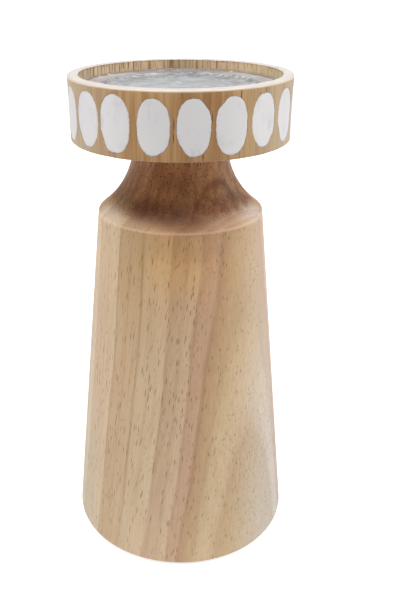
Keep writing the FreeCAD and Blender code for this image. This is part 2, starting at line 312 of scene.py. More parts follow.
# The longest edge of the cup's half section, in mm.
CUP_EDGE = 3.0
# A share of an edge and a crossing of two ways that are too small to count.
TINY_SHARE = 1e-6
TINY_CROSSING = 1e-9


def inlay_frame(node):
    """An inlay's outward direction and its direction to the right, found from its flat back."""
    corners = [vertex.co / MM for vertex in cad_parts[node].data.vertices]
    outer = max(corner.xy.length for corner in corners)
    back = [corner.xy for corner in corners if corner.xy.length < outer - INLAY_DEPTH / 2]
    far = max(back, key=lambda corner: (corner - back[0]).length)
    right = (far - back[0]).normalized()
    out = Vector((right.y, -right.x, 0))
    side = -1 if out.xy.dot(back[0]) < 0 else 1
    return out * side, Vector((right.x, right.y, 0)) * side


def inlay_outline(node):
    """The closed edge of an inlay, evenly round its middle, as (right, up) pairs in mm."""
    out, right = inlay_frame(node)
    flat = [
        Vector(((vertex.co / MM).dot(right), vertex.co.z / MM))
        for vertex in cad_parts[node].data.vertices
    ]
    hull = [flat[index] for index in geometry.convex_hull_2d(flat)]
    middle = Vector((
        (min(p.x for p in hull) + max(p.x for p in hull)) / 2,
        (min(p.y for p in hull) + max(p.y for p in hull)) / 2,
    ))
    edges = list(zip(hull, hull[1:] + hull[:1]))
    turns = [2 * math.pi * step / INLAY_POINTS for step in range(INLAY_POINTS)]
    rays = [Vector((math.cos(turn), math.sin(turn))) for turn in turns]
    reaches = []
    for ray in rays:
        reach = 0
        for start, end in edges:
            side = end - start
            across = ray.x * side.y - ray.y * side.x
            if abs(across) < TINY_CROSSING:
                continue
            offset = start - middle
            along = (offset.x * side.y - offset.y * side.x) / across
            share = (offset.x * ray.y - offset.y * ray.x) / across
            if along > 0 and -TINY_SHARE <= share <= 1 + TINY_SHARE:
                reach = max(reach, along)
        reaches.append(reach)
    outline = []
    for step, ray in enumerate(rays):
        near = [reaches[(step + aside) % INLAY_POINTS]
                for aside in range(-INLAY_SOFTENING, INLAY_SOFTENING + 1)]
        edge = middle + ray * sum(near) / len(near)
        outline.append(edge + ray * uneven((edge.x, edge.y, out.x), *INLAY_NICKS))
    return middle, outline


# How an inlay's face is laid out: each ring's size against the outline, and how far it lies in.
FACE_RINGS = (
    (1.0, 0.10), (0.985, 0.03), (0.965, 0.01), (0.92, 0), (0.84, 0),
    (0.72, 0), (0.58, 0), (0.43, 0), (0.28, 0), (0.14, 0),
)


def make_inlay(node, cup_radius, material):
    """One inlay, softened along its edge and rubbed a little uneven on its face."""
    out, right = inlay_frame(node)
    middle, outline = inlay_outline(node)
    up = Vector((0, 0, 1))

    def at(flat, depth):
        return out * depth + right * flat.x + up * flat.y

    faces = []
    points = [at(flat, cup_radius - INLAY_DEPTH) for flat in outline]
    for size, sunk in FACE_RINGS:
        for flat in outline:
            place = middle + (flat - middle) * size
            surface = math.sqrt(cup_radius**2 - place.x**2)
            rubbed = noise.noise(at(place, surface) * FACE_RUB_SCALE) * FACE_RUB_DEPTH
            points.append(at(place, surface - sunk + (rubbed - FACE_RUB_SUNK)))
    rows = [range(ring * INLAY_POINTS, (ring + 1) * INLAY_POINTS)
            for ring in range(len(FACE_RINGS) + 1)]
    for lower, upper in zip(rows, rows[1:]):
        faces += quads(lower, upper)
    hub = len(points)
    points.append(at(middle, math.sqrt(cup_radius**2 - middle.x**2) - FACE_RUB_SUNK))
    last = rows[-1]
    faces += [[last[step], last[(step + 1) % INLAY_POINTS], hub] for step in range(INLAY_POINTS)]
    faces.append(list(reversed(rows[0])))
    name = node.replace("inlay", "white_oval")
    add_piece(name, points, faces, material, [node])


def pocket_cutters(nodes, cup_radius):
    """One object whose blocks cut the inlays' pockets out of the cup's band."""
    points, faces = [], []
    for node in nodes:
        out, right = inlay_frame(node)
        middle, outline = inlay_outline(node)
        first = len(points)
        for depth in (cup_radius - INLAY_DEPTH, cup_radius + INLAY_DEPTH):
            for flat in outline:
                away = flat - middle
                grown = middle + away * (1 + POCKET_GAP / away.length)
                points.append(out * depth + right * grown.x + Vector((0, 0, grown.y)))
        lower = range(first, first + INLAY_POINTS)
        upper = range(first + INLAY_POINTS, first + 2 * INLAY_POINTS)
        faces += quads(lower, upper)
        faces.append(list(reversed(lower)))
        faces.append(list(upper))
    return mesh_object("pocket_cutters", points, faces)


def worn_cup(angle, radius, height):
    """Hand sanding of the cup's band and rim. What lies inside its recess stays true."""
    if radius < (RECESS_RADIUS + REBATE_RADIUS) / 2:
        return radius, height
    x, y = around(angle, radius)
    across = uneven((x, y, height), *BAND_WEAR)
    up = uneven((x, y, 1), *RIM_WEAR)
    return radius + across, height + up


def make_cup(material, nodes):
    low, high = node_box("cup")
    top = high.z
    seat = top - SEAT_DEPTH
    ledge = seat + REBATE_DEPTH
    socket_top = low.z + SOCKET_DEPTH
    corners = (
        (0, CUP_PILOT_TOP, 0),
        (PILOT_RADIUS, CUP_PILOT_TOP, 0),
        (PILOT_RADIUS, socket_top, 0),
        (SOCKET_RADIUS, socket_top, 0),
        (SOCKET_RADIUS, low.z, 0),
        (high.x, low.z, EDGE_ROUND),
        (high.x, top, RIM_OUTER_ROUND),
        (RECESS_RADIUS, top, RIM_INNER_ROUND),
        (RECESS_RADIUS, ledge, 0),
        (REBATE_RADIUS, ledge, 0),
        (REBATE_RADIUS, seat, 0),
        (WELL_RADIUS, seat, 0),
        (WELL_RADIUS, seat - WELL_DEPTH, 0),
        (0, seat - WELL_DEPTH, 0),
    )
    points, faces = lathe(spaced(rounded(corners), CUP_EDGE), CUP_SEGMENTS, worn_cup)
    cup = add_piece("cup_turned", points, faces, material, ["cup"])
    cutter = pocket_cutters(nodes, high.x)
    pockets = cup.modifiers.new("pockets", "BOOLEAN")
    pockets.object = cutter
    pockets.operation = "DIFFERENCE"
    pockets.solver = "EXACT"
    graph = bpy.context.evaluated_depsgraph_get()
    carved = bpy.data.meshes.new_from_object(cup.evaluated_get(graph))
    cup.modifiers.clear()
    cup.data = carved
    smooth(carved)
    bpy.data.objects.remove(cutter)


# ---- pan

PAN_RADIUS = 43.15
PAN_SHEET = 0.9
PAN_DISH_RADIUS = 33.5
PAN_DISH_SLOPE = 1.6
PAN_DISH_DEPTH = 0.9
PAN_LIP_WIDTH = 0.9
PAN_LIP_HEIGHT = 0.4
# The lip's roundings in mm: foot, outer and inner top edge, and where it meets the ring.
PAN_LIP_ROUNDS = (0.2, 0.15, 0.12, 0.1)
# The ring is hammered up to this far from the lip, in mm.
PAN_LIP_GAP = 0.3
PAN_SEGMENTS = 400
PAN_EDGE = 0.8
# How tightly the sheet bends at the sunk middle's edge, seen from below and from above, in mm.
PAN_BEND_UNDER = 0.4
PAN_BEND_OVER = 0.8
# The beaten middle: facets to a mm, how deep a facet is, and where its slope stops.
HAMMER_SCALE = 0.2
HAMMER_DEPTH = 0.2
HAMMER_LIMIT = 0.5
# The beating fades out over this many mm, from just outside the sunk middle's edge.
HAMMER_FADE = 3
HAMMER_OVERRUN = 1
# Ripples in the beaten middle and a slow swell of the whole sheet: scale and depth.
RIPPLE = ((0.5, 0.5, 2), 0.04)
SWELL = ((0.07, 0.07, 5), 0.05)


def make_pan(material):
    high = node_box("drip_pan")[1]
    ring = high.z - PAN_LIP_HEIGHT
    seat = ring - PAN_SHEET
    floor = ring - PAN_DISH_DEPTH
    dish_edge = PAN_DISH_RADIUS + PAN_DISH_SLOPE
    lip = high.x - PAN_LIP_WIDTH
    foot_round, outer_round, inner_round, ring_round = PAN_LIP_ROUNDS
    under = (
        (0, seat - PAN_DISH_DEPTH, 0),
        (PAN_DISH_RADIUS, seat - PAN_DISH_DEPTH, PAN_BEND_UNDER),
        (dish_edge, seat, PAN_BEND_UNDER),
        (high.x, seat, foot_round),
        (high.x, high.z, outer_round),
        (high.x - PAN_LIP_WIDTH / 2, high.z, inner_round),
        (lip, ring, ring_round),
        (dish_edge, ring, 0),
    )
    over = (
        (lip - PAN_LIP_GAP, ring, 0),
        (dish_edge, ring, PAN_BEND_OVER),
        (PAN_DISH_RADIUS, floor, PAN_BEND_OVER),
        (0, floor, 0),
    )
    outline = rounded(under, 3)[:-1] + spaced(rounded(over, 4), PAN_EDGE)

    def hammered(angle, radius, height):
        """The sunk middle is beaten into shallow facets, and the ring round it is nearly true."""
        sunk = radius < dish_edge - PAN_BEND_UNDER
        under_sheet = seat - PAN_DISH_DEPTH if sunk else seat
        if radius > lip - PAN_LIP_GAP or height - under_sheet < PAN_SHEET / 2:
            return radius, height
        x, y = around(angle, radius)
        beaten = min(1.0, max(0.0, (dish_edge + HAMMER_OVERRUN - radius) / HAMMER_FADE))
        blow = Vector((x * HAMMER_SCALE, y * HAMMER_SCALE, 0))
        near, next_near = noise.voronoi(blow)[0][:2]
        facet = min(next_near - near, HAMMER_LIMIT) * HAMMER_DEPTH
        ripple = uneven((x, y, 1), *RIPPLE)
        swell = uneven((x, y, 1), *SWELL)
        return radius, height + swell - beaten * (facet + ripple)

    points, faces = lathe(outline, PAN_SEGMENTS, hammered)
    add_piece("pan_beaten", points, faces, material, ["drip_pan"])


# ---- pads

PAD_SEGMENTS = 72
PAD_ROUND_UNDER = 0.4
PAD_ROUND_OVER = 0.3
# The fuzz on a pad's edge: scales round and up the edge, size, and how far it lies in, in mm.
PAD_FUZZ = ((9, 9, 2), 0.16)
PAD_FUZZ_SUNK = 0.12


def make_pad(node, material):
    """A felt disc with soft edges and a slightly fuzzy outline."""
    low, high = node_box(node)
    middle = (low + high) / 2
    radius = (high.x - low.x) / 2
    corners = (
        (0, low.z, 0),
        (radius, low.z, PAD_ROUND_UNDER),
        (radius, high.z, PAD_ROUND_OVER),
        (0, high.z, 0),
    )

    def fuzzy(angle, away, height):
        if away < radius / 2:
            return away, height
        tuft = uneven((math.sin(angle), math.cos(angle), height), *PAD_FUZZ)
        return away - PAD_FUZZ_SUNK + tuft, height

    points, faces = lathe(rounded(corners, 4), PAD_SEGMENTS, fuzzy)
    moved = [(x + middle.x, y + middle.y, z) for x, y, z in points]
    add_piece(node.replace("felt", "soft"), moved, faces, material, [node])


# ---- node trees

def tone(red, green, blue):
    """The linear colour that a shader takes, from one as it looks on a screen, 0 to 255."""
    def linear(value):
        value /= 255
        return value / 12.92 if value <= 0.04045 else ((value + 0.055) / 1.055) ** 2.4
    return (linear(red), linear(green), linear(blue), 1.0)


# Where a pore's edge starts and ends, as a distance from the middle of its cell.
PORE_EDGE = (0.13, 0.26)
# The share of a soft patch's spread over which it keeps its full strength.
SPOT_CORE = 0.2
# How deep each finish's fine relief is, in mm.
COLUMN_RELIEF = 0.05
CUP_RELIEF = 0.1
GRIT_RELIEF = 0.02
PAN_RELIEF = 0.05
FELT_RELIEF = 0.2


class Finish:
    """One procedural material, with short calls for the nodes that the finishes share."""

    def __init__(self, name):
        self.material = bpy.data.materials.new(name)
        self.material.use_nodes = True
        self.tree = self.material.node_tree
        self.tree.nodes.clear()
        self.output = self.tree.nodes.new("ShaderNodeOutputMaterial")

    def node(self, kind, inputs, **settings):
        """A shader node with these settings, its inputs set or linked by name or place."""
        made = self.tree.nodes.new("ShaderNode" + kind)
        for name, value in settings.items():
            setattr(made, name, value)
        for key, value in inputs.items():
            socket = made.inputs[key]
            if isinstance(value, bpy.types.NodeSocket):
                self.tree.links.new(value, socket)
            else:
                socket.default_value = value
        return made

    def place(self):
        """Where a point of the object is, in millimetres."""
        coords = self.node("TexCoord", {})
        return self.stretch(coords.outputs["Object"], (1 / MM, 1 / MM, 1 / MM))

    def stretch(self, vector, factors):
        inputs = {0: vector, 1: factors}
        return self.node("VectorMath", inputs, operation="MULTIPLY").outputs[0]

    def shift(self, vector, offset):
        inputs = {0: vector, 1: offset}
        return self.node("VectorMath", inputs, operation="ADD").outputs[0]

    def split(self, vector):
        return self.node("SeparateXYZ", {0: vector}).outputs

    def join(self, x, y, z):
        return self.node("CombineXYZ", {0: x, 1: y, 2: z}).outputs[0]

    def length(self, vector):
        return self.node("VectorMath", {0: vector}, operation="LENGTH").outputs[1]

    def math(self, operation, first, second=0.0):
        return self.node("Math", {0: first, 1: second}, operation=operation).outputs[0]

    def sum(self, first, second):
        return self.math("ADD", first, second)

    def times(self, first, *others):
        for other in others:
            first = self.math("MULTIPLY", first, other)
        return first

    def noise(self, vector, scale, detail=2.0, roughness=0.5):
        return self.node(
            "TexNoise",
            {"Vector": vector, "Scale": scale, "Detail": detail, "Roughness": roughness},
        ).outputs["Fac"]

    def figure(self, vector, scales, detail=2.0, roughness=0.5):
        """Noise with its own scale along x, y and z."""
        return self.noise(self.stretch(vector, scales), 1.0, detail, roughness)

    def cells(self, vector, scales):
        """Cells with their own scale along x, y and z."""
        return self.node("TexVoronoi", {"Vector": self.stretch(vector, scales), "Scale": 1.0})

    def between(self, value, low, high, first=0.0, last=1.0):
        """value's way from low to high, eased, as a way from first to last."""
        return self.node(
            "MapRange",
            {"Value": value, "From Min": low, "From Max": high, "To Min": first, "To Max": last},
            interpolation_type="SMOOTHSTEP",
        ).outputs["Result"]

    def mix(self, factor, first, second, blend="MIX"):
        """A mixed colour. In a Mix node inputs 6 and 7 and output 2 are the ones for colours."""
        inputs = {0: factor, 6: first, 7: second}
        return self.node("Mix", inputs, data_type="RGBA", blend_type=blend).outputs[2]

    def tint(self, factor, colour, tint):
        """The colour multiplied by the tint as far as factor says, channel by channel."""
        return self.mix(factor, colour, (*tint, 1), "MULTIPLY")

    def ramp(self, value, stops):
        """A colour ramp through (place from 0 to 1, colour) stops."""
        made = self.node("ValToRGB", {"Fac": value})
        ramp = made.color_ramp
        ramp.elements[0].position, ramp.elements[1].position = 0.0, 1.0
        for index, (place, colour) in enumerate(stops):
            element = ramp.elements[index] if index < 2 else ramp.elements.new(place)
            element.position = place
            element.color = colour
        return made.outputs["Color"]

    def bump(self, height, depth):
        """A normal for raised and sunk detail, depth in mm."""
        inputs = {"Height": height, "Strength": 1.0, "Distance": depth * MM}
        return self.node("Bump", inputs).outputs["Normal"]

    def pores(self, along, scales, crowding, few, many):
        """Open pores along the grain: 1 inside one. More of them show where crowding is higher."""
        cells = self.cells(along, scales)
        pore = self.between(cells.outputs["Distance"], *PORE_EDGE, 1.0, 0.0)
        luck = self.sum(self.split(cells.outputs["Color"])[0], crowding)
        return self.times(pore, self.between(luck, few, many))

    def spot(self, place, centre, spread, strength):
        """A soft patch, strongest at centre and gone a spread away from it, both in mm."""
        offset = self.shift(place, tuple(-along for along in centre))
        reach = self.length(self.stretch(offset, tuple(1 / along for along in spread)))
        return self.between(reach, SPOT_CORE, 1.0, strength, 0.0)

    def facing_up(self):
        """1 on a level face that looks up, 0 on a wall and -1 underneath."""
        return self.split(self.node("NewGeometry", {}).outputs["Normal"])[2]

    def finish(self, **inputs):
        named = {name.replace("_", " "): value for name, value in inputs.items()}
        shader = self.node("BsdfPrincipled", named)
        self.tree.links.new(shader.outputs[0], self.output.inputs["Surface"])
        return self.material

    def fade(self, shown):
        """Let the finished surface fade to clear where shown falls to 0."""
        surface = self.output.inputs["Surface"]
        solid = surface.links[0].from_socket
        clear = self.node("BsdfTransparent", {})
        mixed = self.node("MixShader", {0: shown, 1: clear.outputs[0], 2: solid})
        self.tree.links.new(mixed.outputs[0], surface)


# ---- wood

# The column's log: how far its pith lies from the turned axis, on which bearing (degrees from the
# back towards the left), and how it leans, in mm across for each mm up from the middle.
PITH_DISTANCE = 70.0
PITH_BEARING = 46.0
PITH_LEAN = (-0.097, 0.001)
PITH_MIDDLE = 115.0
# The fibres lean a little to the right, going up.
FIBRE_LEAN = (0.137, 0.04)
# The growth rings: how far from the pith they reach, then each one's distance in mm and colour.
RING_REACH = 140.0
GROWTH_RINGS = (
    (20.0, 185, 150, 109), (38.0, 208, 179, 140), (38.6, 187, 154, 114),
    (52.0, 210, 183, 146), (52.6, 189, 156, 118), (66.0, 212, 187, 151),
    (66.5, 198, 166, 128), (82.4, 212, 187, 151), (82.9, 198, 166, 126),
    (92.9, 204, 176, 136), (93.2, 182, 147, 109), (93.6, 205, 180, 143),
    (101.4, 214, 187, 151), (101.9, 198, 167, 134), (107.4, 212, 183, 149),
    (107.8, 199, 163, 131), (110.0, 202, 166, 133), (110.4, 189, 152, 112),
    (111.6, 195, 161, 119), (113.2, 208, 180, 137), (114.7, 214, 188, 149),
    (115.2, 197, 167, 125), (118.0, 206, 181, 140), (118.5, 187, 154, 114),
    (126.0, 210, 183, 144),
)
# Thin dark lines between growth rings: distance from the pith and strength.
RING_LINES = (
    (75.8, 0.20), (82.7, 0.30), (88.1, 0.15), (93.2, 0.30), (97.6, 0.12),
    (101.8, 0.25), (104.9, 0.18), (107.6, 0.20), (110.2, 0.25), (112.4, 0.12),
)
# A dark growth ring shows as an arch in the neck: the peak's place and how fast its legs fall.
NECK_ARCH_SIDE = 15.0
NECK_ARCH_PEAK = 186.0
NECK_ARCH_FALL = 0.11
# The neck's tint is partly painted shade from the cup overhead.
NECK_SHADE_TINT = (0.82, 0.55, 0.41)
CONE_TINT = (0.91, 0.90, 0.91)
FOOT_TINT = (0.89, 0.90, 0.90)
# Painted sheen: the wood is painted paler and greyer to the left and to the right of the front.
LEFT_SHEEN_TINT = (1.03, 1.16, 1.28)
RIGHT_SHEEN_TINT = (1.02, 1.22, 1.80)
# Darker, paler or yellower patches: painted shadow of the cup, painted light from the side lights,
# painted sheen, and two darker patches on the neck. Centre and spread in mm, strength and tint.
SHADE_LIGHT_AND_TONE_PATCHES = (
    # painted shadow of the cup: a dark belt round the lower neck and over the front of the roll
    ((-9, -30, 174.5), (27, 20, 6.5), 0.95, (0.56, 0.50, 0.50)),
    ((4, -37, 171), (20, 12, 5), 0.85, (0.62, 0.52, 0.48)),
    # painted light: pale patches where the side lights fall on the roll
    ((34, -18, 171), (18, 18, 6), 0.9, (1.36, 1.66, 2.10)),
    ((-34, -18, 171), (16, 18, 6), 0.8, (1.34, 1.57, 2.05)),
    ((-18, -26, 178), (9, 9, 9), 0.7, (0.70, 0.56, 0.58)),
    ((24, -13, 187), (9, 10, 15), 0.9, (0.76, 0.84, 0.90)),
    # painted sheen: greyer patches on the flanks of the neck
    ((28, -16, 176), (10, 12, 7), 0.8, (0.84, 1.00, 1.12)),
    ((-24, -13, 182), (10, 12, 15), 0.8, (0.92, 1.12, 1.25)),
    ((-29, -17, 175), (12, 12, 7), 0.7, (0.85, 1.02, 1.15)),
    # painted shade below the cup's overhang: warmer, darker wood at the top of the cone and over
    # the front of the roll
    ((0, -39, 166), (28, 12, 34), 0.9, (1.04, 0.90, 0.70)),
    ((-8, -42, 150), (38, 24, 40), 1.0, (0.98, 0.92, 0.83)),
    ((0, -34, 171), (44, 26, 8), 0.9, (0.99, 0.90, 0.92)),
    ((4, -38, 162), (26, 16, 9), 0.9, (0.86, 0.86, 0.86)),
    ((-21, -33, 156), (14, 12, 30), 0.9, (0.88, 0.86, 0.84)),
)
# Each texture's scale along x, y and z, per mm: its marks run furthest where that is lowest.
WANDER_SCALE = (0.03, 0.03, 0.012)
FIBRE_SCALE = (0.9, 1.3, 0.03)
DRAWN_SCALE = (0.05, 0.05, 0.018)
CROWDING_SCALE = (0.22, 0.22, 0.022)
LONG_PORE_SCALE = (1.4, 1.4, 0.09)
SHORT_PORE_SCALE = (2.0, 2.0, 0.18)
NECK_PORE_SCALE = (0.85, 0.85, 0.5)
NECK_GRAIN_SCALE = (0.28, 0.28, 0.012)
# Where in the same pattern the short pores and the neck's pores are read, in mm.
SHORT_PORE_OFFSET = (31, 17, 5)
NECK_PORE_OFFSET = (7, 43, 11)
# How far the growth rings and the neck's arch wander, in mm from end to end.
RING_WANDER = 2.4
ARCH_WANDER = 6.0
# Where a change in the wood sets in and where it is full, in mm up, across or towards the back.
NECK_REACH = (SHOULDER_HEIGHT + 2.0, SHOULDER_HEIGHT + 7.0)
CONE_TINT_REACH = (158, 120)
FOOT_TINT_REACH = (110, 20)
LEFT_SHEEN_REACH = (-38, -50)
RIGHT_SHEEN_REACH = (22, 50)
SIDE_FRONT_REACH = (-4, -18)
NECK_FRONT_REACH = (0, -8)
RING_LINE_FADE = (158, SHOULDER_HEIGHT)
FIBRE_TONE = tone(156, 116, 78)
RING_LINE_TONE = tone(146, 102, 64)
LONG_PORE_TONE = tone(98, 54, 22)
SHORT_PORE_TONE = tone(120, 70, 34)
NECK_PORE_TONE = tone(56, 26, 14)
# The crease's pale line is sanded wood and painted highlight.
CREASE_WEAR_AND_HIGHLIGHT_TONE = tone(240, 214, 186)
DARK_GRAIN_TINT = (0.80, 0.72, 0.68)
PALE_GRAIN_TINT = (1.18, 1.20, 1.16)
ARCH_TINT = (0.68, 0.58, 0.52)
OVER_ARCH_TINT = (1.22, 1.24, 1.20)


def pith_distance(wood, x, y, z):
    """How far a point of the column lies from the leaning pith of its log, in mm."""
    bearing = math.radians(PITH_BEARING)
    rise = wood.sum(z, -PITH_MIDDLE)
    pith_x = wood.sum(wood.times(rise, PITH_LEAN[0]), -PITH_DISTANCE * math.sin(bearing))
    pith_y = wood.sum(wood.times(rise, PITH_LEAN[1]), PITH_DISTANCE * math.cos(bearing))
    off_x = wood.math("SUBTRACT", x, pith_x)
    off_y = wood.math("SUBTRACT", y, pith_y)
    return wood.length(wood.join(off_x, off_y, 0.0))


def with_ring_lines(wood, colour, place, z, radius):
    """Thin dark lines between growth rings, stronger in some places than in others."""
    drawn = wood.figure(place, DRAWN_SCALE, 3.0, 0.6)
    drawn = wood.between(drawn, 0.36, 0.60, 0.3, 1.2)
    drawn = wood.times(drawn, wood.between(z, *RING_LINE_FADE, 1.0, 0.3))
    for distance, strength in RING_LINES:
        off_line = wood.math("ABSOLUTE", wood.sum(radius, -distance))
        line = wood.between(off_line, 0.10, 0.55, strength, 0.0)
        colour = wood.mix(wood.times(line, drawn), colour, RING_LINE_TONE)
    return colour


def pore_crowding(wood, along, x, z, neck):
    """How crowded the pores are: more in the neck, fewer at the upper right and near the foot."""
    crowding = wood.figure(along, CROWDING_SCALE, 3.0, 0.6)
    crowding = wood.sum(crowding, wood.times(neck, 0.15))
    upper_right = wood.times(wood.between(x, 8, 28), wood.between(z, 70, 100))
    near_foot = wood.between(z, 70, 5, 0.0, -0.10)
    bare = wood.sum(wood.times(upper_right, -0.2), near_foot)
    return wood.sum(crowding, bare)


def with_neck_shade_and_figure(wood, colour, along, neck):
    """The neck is end grain in part that drank more of the finish, and its darker, redder tint is
    also painted shade from the cup overhead.
    """
    # painted shade under the cup, over the end grain's darker tone
    colour = wood.tint(neck, colour, NECK_SHADE_TINT)
    grain = wood.figure(along, NECK_GRAIN_SCALE, 3.0, 0.55)
    dark = wood.times(wood.between(grain, 0.46, 0.60), neck)
    pale = wood.times(wood.between(grain, 0.46, 0.34), neck)
    colour = wood.tint(dark, colour, DARK_GRAIN_TINT)
    return wood.tint(pale, colour, PALE_GRAIN_TINT)


def with_neck_arch(wood, colour, x, y, z, wander, neck):
    """The dark ring that arches over the front of the neck, with paler wood over it."""
    aside = wood.sum(x, -NECK_ARCH_SIDE)
    fall = wood.times(aside, aside, NECK_ARCH_FALL)
    below = wood.math("SUBTRACT", NECK_ARCH_PEAK, wood.sum(z, fall))
    below = wood.sum(below, wood.times(wander, ARCH_WANDER))
    in_front = wood.between(y, *NECK_FRONT_REACH)
    arch = wood.times(wood.between(below, -1.0, 0.6), wood.between(below, 4.5, 1.2))
    arch = wood.times(arch, wood.between(aside, 4, 12, 1.0, 0.35), in_front, neck)
    colour = wood.tint(wood.times(arch, 0.9), colour, ARCH_TINT)
    over_arch = wood.times(wood.between(below, -7.0, -2.5), wood.between(below, -0.4, -2.0))
    over_arch = wood.times(over_arch, in_front, neck, 0.4)
    return wood.tint(over_arch, colour, OVER_ARCH_TINT)


def with_column_tints(wood, colour, place, x, y, z):
    """Broad changes of colour round and up the column, painted sheen at its sides, patches of
    painted shade and light, and a pale crease line that is partly painted highlight.
    """
    # painted sheen, paler and greyer, to the left and to the right of the front
    at_side = wood.between(y, *SIDE_FRONT_REACH)
    right = wood.times(wood.between(x, *RIGHT_SHEEN_REACH), at_side)
    left = wood.times(wood.between(x, *LEFT_SHEEN_REACH), at_side)
    colour = wood.tint(right, colour, RIGHT_SHEEN_TINT)
    colour = wood.tint(left, colour, LEFT_SHEEN_TINT)
    colour = wood.tint(wood.between(z, *CONE_TINT_REACH), colour, CONE_TINT)
    colour = wood.tint(wood.between(z, *FOOT_TINT_REACH), colour, FOOT_TINT)
    # patches of painted shadow, painted light and painted sheen, and two darker patches on the
    # neck
    for centre, spread, strength, tint in SHADE_LIGHT_AND_TONE_PATCHES:
        colour = wood.tint(wood.spot(place, centre, spread, strength), colour, tint)
    # A pale line along the crease: sanded edge and painted highlight.
    off_crease = wood.math("ABSOLUTE", wood.sum(z, -SHOULDER_HEIGHT))
    return wood.mix(wood.between(off_crease, 0.2, 0.7, 0.3, 0.0), colour, CREASE_WEAR_AND_HIGHLIGHT_TONE)


def column_wood():
    wood = Finish("column_wood")
    place = wood.place()
    x, y, z = wood.split(place)
    neck = wood.between(z, *NECK_REACH)

    # growth rings that wander a little, so that none is a perfect circle
    wander = wood.sum(wood.figure(place, WANDER_SCALE), -0.5)
    radius = wood.sum(pith_distance(wood, x, y, z), wood.times(wander, RING_WANDER))
    stops = [(distance / RING_REACH, tone(*colour)) for distance, *colour in GROWTH_RINGS]
    rings = wood.ramp(wood.times(radius, 1 / RING_REACH), stops)

    # fibres and pores run along the leaning grain
    along = wood.join(
        wood.math("SUBTRACT", x, wood.times(z, FIBRE_LEAN[0])),
        wood.math("SUBTRACT", y, wood.times(z, FIBRE_LEAN[1])),
        z,
    )
    fibre = wood.figure(along, FIBRE_SCALE, 5.0, 0.7)
    colour = wood.mix(wood.between(fibre, 0.35, 0.75, 0.0, 0.3), rings, FIBRE_TONE)
    colour = with_ring_lines(wood, colour, place, z, radius)
    crowding = pore_crowding(wood, along, x, z, neck)
    short_along = wood.shift(along, SHORT_PORE_OFFSET)
    neck_along = wood.shift(along, NECK_PORE_OFFSET)
    long_pores = wood.pores(along, LONG_PORE_SCALE, crowding, 0.92, 1.0)
    short_pores = wood.pores(short_along, SHORT_PORE_SCALE, crowding, 1.02, 1.15)
    neck_pores = wood.pores(neck_along, NECK_PORE_SCALE, crowding, 0.95, 1.1)
    colour = wood.mix(wood.times(long_pores, 0.9), colour, LONG_PORE_TONE)
    colour = wood.mix(wood.times(short_pores, 0.75), colour, SHORT_PORE_TONE)
    colour = wood.mix(wood.times(neck_pores, neck, 0.95), colour, NECK_PORE_TONE)

    colour = with_neck_shade_and_figure(wood, colour, along, neck)
    colour = with_neck_arch(wood, colour, x, y, z, wander, neck)
    colour = with_column_tints(wood, colour, place, x, y, z)

    pores = wood.math("MAXIMUM", long_pores, short_pores)
    height = wood.sum(wood.times(fibre, 0.25), wood.times(pores, -1.0))
    roughness = wood.between(fibre, 0.2, 0.8, 0.46, 0.58)
    return wood.finish(
        Base_Color=colour, Roughness=roughness, Normal=wood.bump(height, COLUMN_RELIEF)
    )


# The same for the cup's wood, some of it as distances from the axis.
CUP_FIGURE_SCALE = (0.22, 0.22, 0.008)
CUP_FIBRE_SCALE = (1.6, 1.6, 0.05)
STREAK_SCALE = (1.3, 1.3, 0.02)
CUP_PORE_SCALE = (0.9, 0.9, 0.085)
CRACK_SCALE = (2.3, 2.3, 0.02)
CRACK_REACH_SCALE = (0.6, 0.6, 0.0)
CUP_SIDE_SHEEN_REACH = (16, 46)
WALL_REACH = (RECESS_RADIUS + 0.7, RECESS_RADIUS + 1.1)
WALL_RIGHT_REACH = (22, 40)
WALL_LEFT_REACH = (5, -25)
RIM_EDGE_REACH = (RECESS_RADIUS + 2, RECESS_RADIUS + 3)
# Depths below the rim in mm.
RIM_EDGE_DEPTH = (1.15, 0.7)
WALL_TOP_DEPTH = (0.4, 1.0)
WALL_BOTTOM_DEPTH = (SEAT_DEPTH - 2.2, SEAT_DEPTH - 1.2)
CRACK_DEPTH = (1.2, 5.5)
CUP_FIGURE_TONES = (
    (0.30, tone(166, 122, 78)),
    (0.42, tone(184, 142, 94)),
    (0.50, tone(198, 158, 110)),
    (0.56, tone(172, 129, 82)),
    (0.66, tone(190, 150, 102)),
)
CUP_FIBRE_TONE = tone(160, 118, 74)
# Painted sheen on the cup's band towards the left and the right.
CUP_SIDE_SHEEN_TONE = tone(180, 172, 146)
STREAK_TONE = tone(116, 78, 46)
CUP_PORE_TONE = tone(92, 56, 32)
WALL_TONE = tone(218, 192, 158)
CORNER_SHADE_TONE = tone(96, 76, 58)
CRACK_TONE = tone(98, 56, 32)
RIM_TONE = tone(167, 161, 155)
RIM_SPECK_TONE = tone(158, 142, 124)
RIM_EDGE_WEAR_AND_HIGHLIGHT_TONE = tone(204, 187, 169)
UNDERSIDE_TONE = tone(186, 152, 112)
CUP_FRONT_TINT = (0.80, 0.72, 0.66)
WALL_TINT = (1.0, 1.12, 1.35)
WALL_BACK_TINT = (0.74, 0.73, 0.70)
WALL_RIGHT_TINT = (1.02, 1.07, 0.98)


